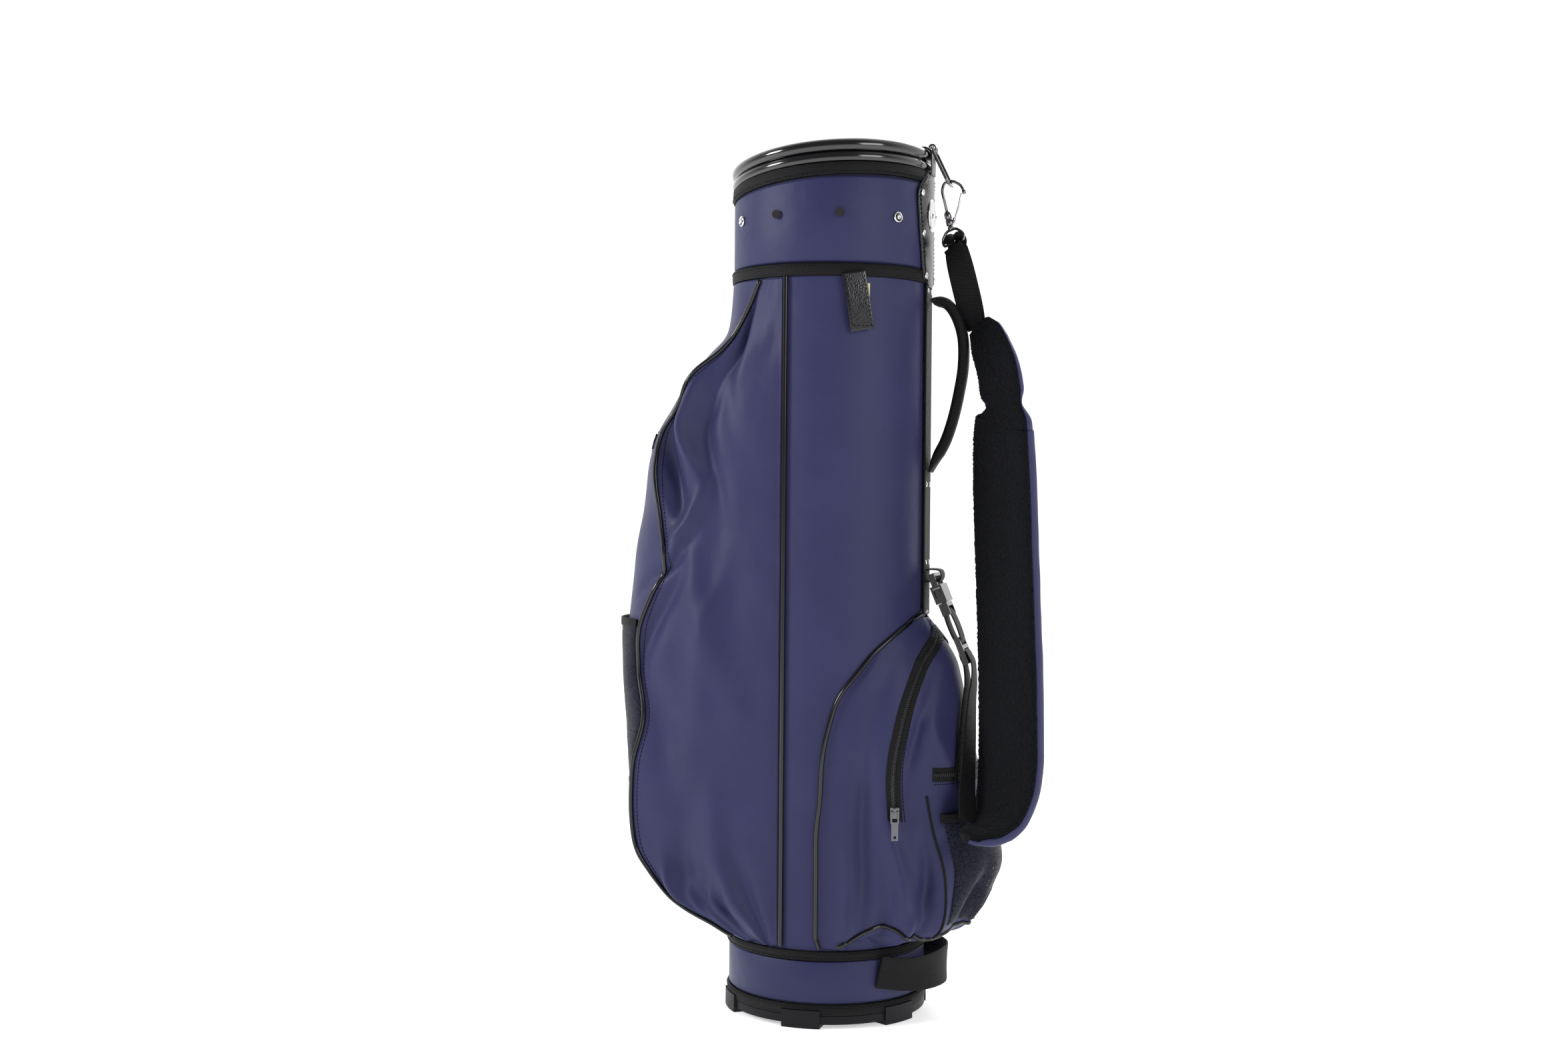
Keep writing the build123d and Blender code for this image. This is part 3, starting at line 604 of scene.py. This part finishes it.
def rear_pocket():
    REAR.skin("rear_pocket_fabric", 0, 1, 80, 411, "navy_nylon", ["rear_pocket"], 190, 210)
    outline = [polar(TUBE_R + 1.6, 90 - row[1], row[0]) for row in REAR.rows]
    outline += [Vector((TUBE_R + 2.2, 0, 417))]
    outline += [Vector((p.x, -p.y, p.z)) for p in outline[-2::-1]]
    outline = smooth_points(outline, 3)
    across = [(p[0], p[1], 0) for p in outline]
    piece("rear_piping_cord", *swept(outline, across, round_section(2.3)), "piping", "bag", ["rear_piping"])
    route = both_sides(ZIP_ROUTE)
    REAR.tape("rear_zip_tape", route, 15, "black_fabric", ["rear_zip"], 0.9, 1.3)
    REAR.zip_teeth("rear_zip_teeth", route, 1.4)
    for k, shift in enumerate((0.026, 0.036)):
        inner = [(u + shift * (1 - u * 1.4), z - 260 * shift * u * u * 4) for u, z in ZIP_ROUTE]
        REAR.stitching("rear_zip_stitches_%d" % k, both_sides(inner), 3.8)
    outer = [(u - 0.024 * (1 - u), z + 30 * u * u * 1.4) for u, z in ZIP_ROUTE]
    REAR.stitching("rear_zip_stitches_2", both_sides(outer), 3.8)
    bottom = [(0.06, 82), (0.1, 92), (0.14, 101), (0.18, 102), (0.22, 97), (0.26, 91), (0.3, 90),
              (0.36, 95), (0.44, 100), (0.5, 102)]
    REAR.cord("rear_bottom_piping", both_sides(bottom), 2.2, "piping")
    face_edge = [(0.3, 92), (0.3, 110), (0.3, 140), (0.3, 170), (0.298, 200), (0.297, 235)]
    for side in (0, 1):
        edge = [(1 - u, z) for u, z in face_edge] if side else face_edge
        REAR.cord("rear_face_seam_%d" % side, edge, 1.3, "black_fabric", (), 0.3)
    small = [(0.312, 256), (0.4, 255), (0.5, 254), (0.6, 255), (0.688, 256)]
    REAR.tape("small_zip_tape", small, 14, "black_fabric", ["small_zip"])
    REAR.zip_teeth("small_zip_teeth", small, 1.5)
    for k, z in enumerate((246, 262)):
        REAR.stitching("small_zip_stitches_%d" % k, [(u, z) for u, _ in small], 3.8)
    net = REAR.skin("rear_mesh_net", 0.32, 0.68, 104, 211, "mesh", ["rear_mesh"], 70, 50,
                    lambda a, b: 0.8 + 7.6 * min(1, 4 * b) * sin(pi * a) ** 0.5, 0.5)
    points = [REAR.point(0.315 + 0.37 * k / 16, 212, 1.0 + 7.8 * sin(pi * k / 16) ** 0.5) for k in range(17)]
    points = [Vector(p) for p in smooth_points(points, 5)]
    piece("rear_mesh_hem", *swept(points, (0, 0, 1), flat_section(9, 2.6)), "black_fabric", "bag")


# ---------------------------------------------------------------- studs, screws and badge
DOME = ((1.0, 0.0), (0.97, 0.35), (0.8, 0.7), (0.5, 0.92), (0.15, 1.0))


def dome(at, axis, radius, height):
    return lathe([(radius * r, height * h) for r, h in DOME], at, axis)


def studs():
    rivets = []
    for y, z in ((-30, 848), (-27, 807), (-20, 764)):
        for side in (-1, 1):
            angle = 90 + side * y / 106.8 * 57.3
            rivets.append(dome(polar(106.7, angle, z), polar(1, angle, 0), 3.4, 1.9))
    for z in (749.5, 549, 468):
        for y in (-8.5, 8.5):
            angle = 90 + y / 104 * 57.3
            rivets.append(dome(polar(104.4, angle, z), polar(1, angle, 0), 3.1, 2.0))
    piece("rivet_domes", *joined(rivets), "bright_metal", "bag", ["rivets"])
    rings, well_shade_discs = [], []
    profile = ((5.6, 0.0), (5.7, 0.9), (5.0, 1.9), (4.3, 1.9), (3.9, 1.0), (3.8, 0.3))
    for angle in SNAP_ANGLES:
        at, out = polar(103.1, angle, STUD_HEIGHT), polar(1, angle, 0)
        rings.append(lathe(profile, at, out, 32))
        rings.append(lathe(((2.3, 0.3), (2.4, 2.2), (2.0, 3.0), (1.0, 3.0), (0.9, 2.0)), at, out, 24))
        # Dark disc between the ring and the post: painted shade filling the well of each snap.
        well_shade_discs.append(lathe(((3.7, 0.2), (3.6, 0.6)), at, out, 24))
    piece("snap_rings", *joined(rings), "bright_metal", "bag", ["hood_snaps"])
    piece("snap_well_shade", *joined(well_shade_discs), "piping", "bag")
    heads, slot_shade_bars = [], []
    for x in (-DIVIDER_X, DIVIDER_X):
        for side in (-1, 1):
            y = side * sqrt(BAND_R ** 2 - (DIVIDER_X - 4.5) ** 2)
            heads.append(dome((x, y, DIVIDER_HEIGHT), (0, side, 0), 4.5, 2.0))
            # Dark cross bars proud of each screw head: painted shade standing for the shaded slot recess.
            for cut in ((1, 0, 0), (0, 0, 1)):
                ends = [Vector((x, y + side * 1.75, DIVIDER_HEIGHT)) + Vector(cut) * k for k in (-2.3, 2.3)]
                slot_shade_bars.append(swept(ends, (0, 1, 0), flat_section(0.7, 0.8, 8, 4)))
    piece("screw_heads", *joined(heads), "bright_metal", "bag")
    piece("screw_slot_shade", *joined(slot_shade_bars), "piping", "bag")
    disc = ((16.9, 0), (17.0, 0.9), (16.2, 1.6), (15.0, 1.5), (14.2, 1.1), (8, 1.3), (0.2, 1.45))
    piece("badge_face", *lathe(disc, (PATCH_R, 0, 828), (1, 0, 0), 64), "bright_metal", "bag", ["badge_disc"])


def patch_half_width(z):
    points = ((754, 9), (757, 16), (762, 22), (776, 26), (815, 33), (846, 37), (854, 35), (872, 15))
    for (z0, w0), (z1, w1) in zip(points, points[1:]):
        if z <= z1:
            return w0 + (w1 - w0) * (z - z0) / (z1 - z0)
    return points[-1][1]


def spine_patch():
    """Leather patch, puffed a little, with a turned edge and a row of stitches."""
    rows, columns = 70, 40
    outer, inner = [], []
    for i in range(rows):
        z = 754 + 118 * i / (rows - 1)
        half = patch_half_width(z)
        for j in range(columns):
            part = 2 * j / (columns - 1) - 1
            edge = min(1, (1 - abs(part)) * half / 3, (z - 753) / 3)
            ripple = 0.35 * noise.noise(Vector((part * 2, z / 18, 1.0)))
            angle = 90 + part * half / PATCH_R * 57.3
            outer.append(polar(105.0 + 1.9 * max(edge, 0) ** 0.5 + ripple * edge, angle, z))
            inner.append(polar(104.6, angle, z))
    piece("spine_patch_leather", outer + inner, panel_faces(rows, columns, flip=True), "leather", "bag",
          ["spine_patch"])
    parts = []
    for side in (-1, 1):
        angles = [(90 + side * (patch_half_width(z) - 3) / PATCH_R * 57.3, z) for z in range(758, 868, 2)]
        path = [polar(106.9, a, z) for a, z in angles]
        parts.append(stitches(path, [polar(1, a, 0) for a, _ in angles], 4.4, 0.1))
    piece("spine_patch_stitches", *joined(parts), "black_fabric", "bag")


def ring_loop():
    """Leather strip that wraps over the rim and folds round the ring bar."""
    roll_x, roll_z = 99.1, 889.7
    outside = [(roll_x + 8.2, 870), (roll_x + 8.3, 880), (roll_x + 8.3, roll_z)]
    over = [(roll_x + 8.3 * cos(a), roll_z + 8.3 * sin(a)) for a in (0.4, 0.9, 1.4, 1.9, 2.4, 2.9)]
    inside = [(roll_x - 8.3, 884), (roll_x - 8.3, 874)]
    route = [(x, 0, z) for x, z in outside + over + inside]
    path = smooth_points(route, 6)
    fold = [(107.2 + 3.6 * cos(a), 0, 897.8 + 3.6 * sin(a)) for a in [k * pi / 8 - 2.2 for k in range(14)]]
    parts = [swept(path, (0, 1, 0), flat_section(22, 2.0)), swept(fold, (0, 1, 0), flat_section(12.5, 1.6))]
    piece("ring_loop_leather", *joined(parts), "leather", "bag", ["ring_loop"])


# ---------------------------------------------------------------- webbing and handles
def spine_webbing():
    path = [(103.9, 0, z) for z in range(414, 757, 6)]
    piece("spine_strip_web", *swept(path, (0, 1, 0), flat_section(29, 2.6)), "black_fabric", "bag",
          ["spine_strip"])
    loop = [(105, 448.6), (113, 448.4), (119.5, 449.6), (121.4, 454.7), (119.5, 459.8), (113, 461),
            (105, 460.8)]
    path = smooth_points([(x, 0, z) for x, z in loop], 8)
    piece("buckle_loop_web", *swept(path, (0, 1, 0), flat_section(20, 1.8)), "black_fabric", "bag",
          ["buckle_loop"])


def grab_handle():
    route = [(107.6, 0, 740), (112, 0, 739.5), (124, 0, 736), (134, 0, 722), (140.5, 0, 700),
             (141, 0, 672), (137, 0, 645), (131, 0, 618), (123, 0, 594), (113, 0, 575), (107.6, 0, 562)]
    path = smooth_points(route, 8)
    sections = []
    for i in range(len(path)):
        part = i / (len(path) - 1)
        body = min(1, min(part, 1 - part) / 0.14)
        sections.append(flat_section(22 - 6 * body, 3.0 + 8.5 * body, 28, 3.2 - 0.8 * body))
    piece("grab_handle_web", *swept(path, (0, 1, 0), sections), "black_fabric", "grab_handle",
          ["grab_handle"])


def lift_handle():
    route = []
    for angle in range(44, 137, 6):
        sag = max(cos(radians((angle - 90) * 2)), 0)
        route.append(polar(107.6 + 19.6 * sag, angle, 57 - 9 * sag + 2 * sin(radians(angle * 5))))
    path = smooth_points(route, 5)
    across = [(0.25 * cos(k / 9), 0, 1) for k in range(len(path))]
    piece("lift_handle_web", *swept(path, across, flat_section(34, 2.4)), "black_fabric", "lift_handle",
          ["lift_handle"])


def accessory_tab():
    out, along = polar(1, TAB_ANGLE, 0), polar(1, TAB_ANGLE + 90, 0)
    base_at = polar(106.7, TAB_ANGLE, 0)
    route = []
    for k in range(14):
        drop = 58 * k / 13
        lean = 0.32 * drop
        bow = 1.6 * sin(pi * k / 13)
        route.append(base_at + Vector((0, 0, 760.5 - drop)) + along * lean * 0.5 + out * bow)
    path = smooth_points(route, 3)
    piece("accessory_tab_leather", *swept(path, along, flat_section(24, 2.4, 28, 7)), "leather",
          "accessory_tab", ["accessory_tab"])
    rows = []
    for side in (-10, 10):
        line = [Vector(p) + along * side for p in path[1:-3]]
        rows.append(stitches(line, [out] * len(line), 4.4, 1.25))
    end = [Vector(path[-4]) + along * k for k in range(-10, 11, 2)]
    rows.append(stitches(end, [out] * len(end), 4.4, 1.25))
    piece("accessory_tab_stitches", *joined(rows), "black_fabric", "accessory_tab")


# ---------------------------------------------------------------- ring, hook and eye
HOOK = Matrix.Translation((126.5, 0, 815)) @ Matrix.Rotation(radians(-14), 4, "Y")
STRAP_TURN = Matrix.Rotation(radians(-29.4), 4, "Z")


def rounded(points, radius, closed=False):
    """Route with its corners cut by short arcs."""
    result = []
    count = len(points)
    points = [Vector(p) for p in points]
    for i, at in enumerate(points):
        if not closed and i in (0, count - 1):
            result.append(at)
            continue
        before, after = points[i - 1], points[(i + 1) % count]
        reach = min(radius, (before - at).length * 0.45, (after - at).length * 0.45)
        start, end = at + (before - at).normalized() * reach, at + (after - at).normalized() * reach
        for k in range(7):
            t = k / 6
            result.append(start * (1 - t) ** 2 + at * 2 * t * (1 - t) + end * t * t)
    return result


def wire(points, radius, corner, closed=False, across=(0.3, 1, 0.2)):
    return swept(rounded(points, corner, closed), across, round_section(radius, 14), closed)


def placed(matrix, shape):
    return [matrix @ Vector(p) for p in shape[0]], shape[1]


def hardware():
    half = 14.0
    top, end = (107.2, 897.8), (125.8, 859.3)
    corners = [(top[0], -half, top[1]), (top[0], half, top[1]), (end[0], half - 1, end[1]),
               (end[0], 1 - half, end[1])]
    piece("strap_ring_wire", *wire(corners, 1.5, 6, True, (0.9, 0.1, 0.5)), "dark_chrome", "strap_ring",
          ["strap_ring"])
    bow = wire([(0, 0, 14), (0, 0, 40), (4, 0, 47.5), (13, 0, 47.5), (21, 0, 40), (22, 0, 31)], 1.5, 5,
               False, (0, 1, 0))
    barrel = lathe(((3.2, 2.4), (3.7, 3.2), (3.7, 8.6), (3.2, 9.2), (3.2, 9.8), (3.7, 10.4), (3.6, 15.6),
                    (2.4, 17.4), (1.6, 17.6)), (0, 0, 0), (0, 0, 1), 28)
    lug = swept([(3.6, 0, 4.8), (5.0, 0, 7), (6.4, 0, 9.2)], (0, 1, 0), flat_section(1.9, 3.0, 12))
    nose = lathe(((1.5, 0), (2.0, 0.6), (2.0, 3.6), (1.5, 4.4)), (22, 0, 30.6), (0, 0, 1), 20)
    piece("snap_hook_metal", *placed(HOOK, joined([bow, barrel, lug, nose])), "dark_chrome", "snap_hook",
          ["snap_hook"])
    gate = [(5.6, -1.9, 7), (12.5, -1.8, 18), (18.6, -1.1, 31), (18.9, 0, 32), (18.6, 1.1, 31),
            (12.5, 1.8, 18), (5.6, 1.9, 7)]
    piece("hook_gate_wire", *placed(HOOK, wire(gate, 0.75, 3, True, (1, 0.2, -0.5))), "bright_metal",
          "hook_gate", ["hook_gate"])
    wide = 14.1
    eye = wire([(wide * 0.45, 0, -1.8), (wide, 0, -9), (wide, 0, -16), (-wide, 0, -16), (-wide, 0, -9),
                (-wide * 0.45, 0, -1.8)], 1.5, 4, True, (0, 1, 0.1))
    post = lathe(((1.5, 6.0), (1.5, 1.9), (3.0, 1.6), (3.3, -0.2), (2.6, -2.4), (1.2, -3.0)), (0, 0, 0),
                 (0, 0, 1), 24)
    piece("swivel_eye_metal", *placed(HOOK @ STRAP_TURN, joined([eye, post])), "dark_chrome", "strap",
          ["swivel_eye"])


# ---------------------------------------------------------------- shoulder strap
ACROSS = Vector((0.87, -0.49, 0)).normalized()
PAD_ROUTE = [
    # X, Y, Z, width, thickness
    (157, 0, 713, 30, 9), (162, -3, 706, 38, 12), (168, -7, 696, 44, 15), (180, -16, 668, 50, 17),
    (184, -16, 646, 52, 17), (186, -16, 630, 50, 14), (187, -13, 616, 62, 20),
    (186, -10, 600, 70, 23), (188, -9, 538, 74, 24), (192, -12, 455, 74, 24),
    (197, -22, 370, 74, 24), (201, -36, 285, 74, 24), (201, -50, 245, 71, 23),
    (194, -64, 216, 65, 21), (181, -79, 203, 56, 18), (168, -90, 200, 42, 13), (163, -93, 200, 26, 8),
]


def strap_pad():
    route = smooth_points(PAD_ROUTE, 18)
    path = [row[:3] for row in route]
    shell = []
    for _, _, z, width, thick in route:
        pinch = 1 - 0.10 * exp(-((z - PAD_NOTCH) / 7) ** 2)
        wide, deep = width * pinch, thick * pinch
        outline = flat_section(wide, deep, 44, 3.4)
        rim_level = deep / 2 - 6
        shell.append([(a, b if b < rim_level else rim_level - 0.3 * (b - rim_level)) for a, b in outline])
    points, faces = swept(path, ACROSS, shell)
    for i, p in enumerate(points):
        points[i] = p + ACROSS * 0.8 * noise.noise(p / 26) + Vector((0, 0, 0.5)) * noise.noise(p / 9)
    pad = piece("strap_pad_shell", points, faces, "navy_nylon", "strap", ["strap_pad"])
    dense = smooth_points(PAD_ROUTE, 44)
    cover = []
    for _, _, z, width, thick in dense:
        pinch = 1 - 0.12 * exp(-((z - PAD_NOTCH) / 7) ** 2)
        outline = flat_section(width * pinch - 3, 8.5, FLEECE_POINTS, 2.8)
        cover.append([(a, b + thick * pinch / 2 - 4.6) for a, b in outline])
    points, faces = swept([row[:3] for row in dense], ACROSS, cover)
    centre = [Vector(row[:3]) for row in dense for _ in range(FLEECE_POINTS)]
    for i, p in enumerate(points):
        out = (p - centre[i]).normalized()
        tuft = 2.2 * abs(noise.noise(p * 0.9)) + 0.7 * noise.noise(p * 1.7 + Vector((5, 1, 2)))
        points[i] = p + out * tuft
    fleece = piece("strap_fleece", points, faces, "fleece", "strap", ["strap_lining"])


BUCKLE = Matrix.Translation((110, 0, 460)) @ Matrix.Rotation(radians(-22.6), 4, "Y")


def strap_webbing():
    eye_bar = HOOK @ Vector((0, 0, -16))
    down = Vector((22, 0, -87)).normalized()
    fold = ((-2.6, 0, -1), (-2.2, 0, 2.6), (0.6, 0, 4.2), (3.4, 0, 1.8), (3.2, 0, -4))
    front = [eye_bar + Vector(p) for p in fold]
    tail = [eye_bar + Vector((3.6, 0, -6)) + down * k for k in (4, 18, 36, 54, 72, 86)]
    lead = [eye_bar + Vector((0.2, 0, -6)) + down * k for k in (4, 18, 36, 54, 72, 86)]
    parts = []
    for route, wide in ((front + tail, 24), ([front[0] + Vector((0, 0, -2))] + lead, 24.6)):
        path = smooth_points(route, 6)
        turns = []
        for _, _, z in path:
            turn = radians(34) * sin(pi * min(max((798 - z) / 86, 0), 1))
            turns.append(Matrix.Rotation(turn, 3, "Z") @ ACROSS)
        parts.append(swept(path, turns, flat_section(wide, 1.9)))
    piece("upper_web", *joined(parts), "black_fabric", "strap", ["upper_webbing"])
    tie = []
    for k in range(40):
        angle = 2 * pi * k / 40
        squash = abs(cos(angle)) ** 0.6 * (1 if cos(angle) >= 0 else -1)
        tie.append(BUCKLE @ Vector((4.3 * squash, 0, -62.5 + 19 * sin(angle))))
    piece("strap_tie_web", *swept(tie, (0, 1, 0), flat_section(24, 1.8), True), "black_fabric", "strap",
          ["strap_tie"])
    turn = [BUCKLE @ Vector(p) for p in ((4.3, 0, -106), (4.2, 0, -96), (3.0, 0, -90.6), (0, 0, -89.8),
                                         (-3.0, 0, -90.6), (-4.2, 0, -96), (-4.3, 0, -106))]
    front = [Vector(p) for p in ((156, -3, 345), (156, -14, 325), (158, -38, 280), (160, -60, 240),
                                 (164, -78, 214))]
    rear = [Vector(p) for p in ((149.5, -3, 342), (150, -12, 322), (152, -33, 280), (153, -50, 244))]
    route = front[::-1] + turn + rear
    path = smooth_points(route, 8)
    across = []
    for _, _, z in path:
        twist = min(max((360 - z) / 130, 0), 1)
        across.append(Vector((0.55 * twist, 1, 0)))
    piece("lower_web", *swept(path, across, flat_section(24.4, 1.8)), "black_fabric", "strap",
          ["lower_webbing"])


def divider_panels():
    """Fabric panels that hang inside from the divider bars."""
    count = 40
    for side, x in (("front", -DIVIDER_X), ("rear", DIVIDER_X)):
        outer, inner = [], []
        for i in range(count):
            z = 560 + 251 * i / (count - 1)
            for j in range(count):
                y = -82 + 164 * j / (count - 1)
                wave = 2.5 * sin(y / 17 + x) * (1 - i / (count - 1))
                outer.append(Vector((x + wave + 0.5, y, z)))
                inner.append(Vector((x + wave - 0.5, y, z)))
        panel = piece("divider_panel_" + side, outer + inner, panel_faces(count, count), "black_fabric",
                      "bag", ["divider_panels"])


# ---------------------------------------------------------------- stage
def stage():
    mesh = bpy.data.meshes.new("floor")
    mesh.from_pydata([(-30, -30, 0), (30, -30, 0), (30, 30, 0), (-30, 30, 0)], [], [(0, 1, 2, 3)])
    floor = bpy.data.objects.new("floor", mesh)
    bpy.context.scene.collection.objects.link(floor)
    mat, tree, shader = nodes_of("floor")
    shader.inputs["Base Color"].default_value = (0.93, 0.93, 0.94, 1)
    shader.inputs["Roughness"].default_value = 0.8
    shader.inputs["Emission Color"].default_value = (1, 1, 1, 1)
    shader.inputs["Emission Strength"].default_value = 0.5
    mesh.materials.append(mat)
    world = bpy.data.worlds.new("studio")
    world.use_nodes = True
    world.node_tree.nodes["Background"].inputs["Color"].default_value = (1, 1, 1, 1)
    tree = world.node_tree
    split = tree.nodes.new("ShaderNodeSeparateXYZ")
    tree.links.new(tree.nodes.new("ShaderNodeTexCoord").outputs["Generated"], split.inputs["Vector"])
    span = new(tree, "ShaderNodeMapRange", interpolation_type="SMOOTHSTEP")
    span.inputs["From Min"].default_value = -0.45
    span.inputs["From Max"].default_value = 0.55
    span.inputs["To Min"].default_value = 0.18
    span.inputs["To Max"].default_value = 1.12
    tree.links.new(split.outputs["Y"], span.inputs["Value"])
    tree.links.new(span.outputs["Result"], tree.nodes["Background"].inputs["Strength"])
    bpy.context.scene.world = world
    bpy.context.scene.view_settings.view_transform = "Standard"
    for name, at, size, power in (("key", (-2.7, -1.7, 1.9), 0.9, 78), ("fill", (2.2, -1.4, 1.4), 1.2, 24),
                                  ("back", (0.6, 2.4, 2.2), 1.6, 20)):
        light = bpy.data.lights.new(name, "AREA")
        light.size = size
        light.energy = power
        obj = bpy.data.objects.new(name, light)
        obj.location = at
        aim = Vector((0, 0, 0.45)) - Vector(at)
        obj.rotation_euler = aim.to_track_quat("-Z", "Y").to_euler()
        bpy.context.scene.collection.objects.link(obj)


def camera():
    azimuth, pitch, roll = radians(15.65), radians(0.87), radians(0.47)
    data = bpy.data.cameras.new("camera")
    data.sensor_width = 36
    data.lens = 43.2
    obj = bpy.data.objects.new("camera", data)
    right = Vector((cos(azimuth), sin(azimuth), 0))
    level_forward = Vector((-sin(azimuth), cos(azimuth), 0))
    forward = level_forward * cos(pitch) + Vector((0, 0, -1)) * sin(pitch)
    up = right.cross(forward)
    side = right * cos(roll) + up * sin(roll)
    top = up * cos(roll) - right * sin(roll)
    at = level_forward * -1.989 - right * 0.0486 + Vector((0, 0, 0.538))
    obj.matrix_world = Matrix((
        (side.x, top.x, -forward.x, at.x),
        (side.y, top.y, -forward.y, at.y),
        (side.z, top.z, -forward.z, at.z),
        (0, 0, 0, 1),
    ))
    bpy.context.scene.collection.objects.link(obj)
    bpy.context.scene.camera = obj


collar()
base()
front_pocket()
rear_pocket()
studs()
spine_patch()
ring_loop()
spine_webbing()
grab_handle()
lift_handle()
accessory_tab()
hardware()
strap_pad()
strap_webbing()
divider_panels()
stage()
camera()
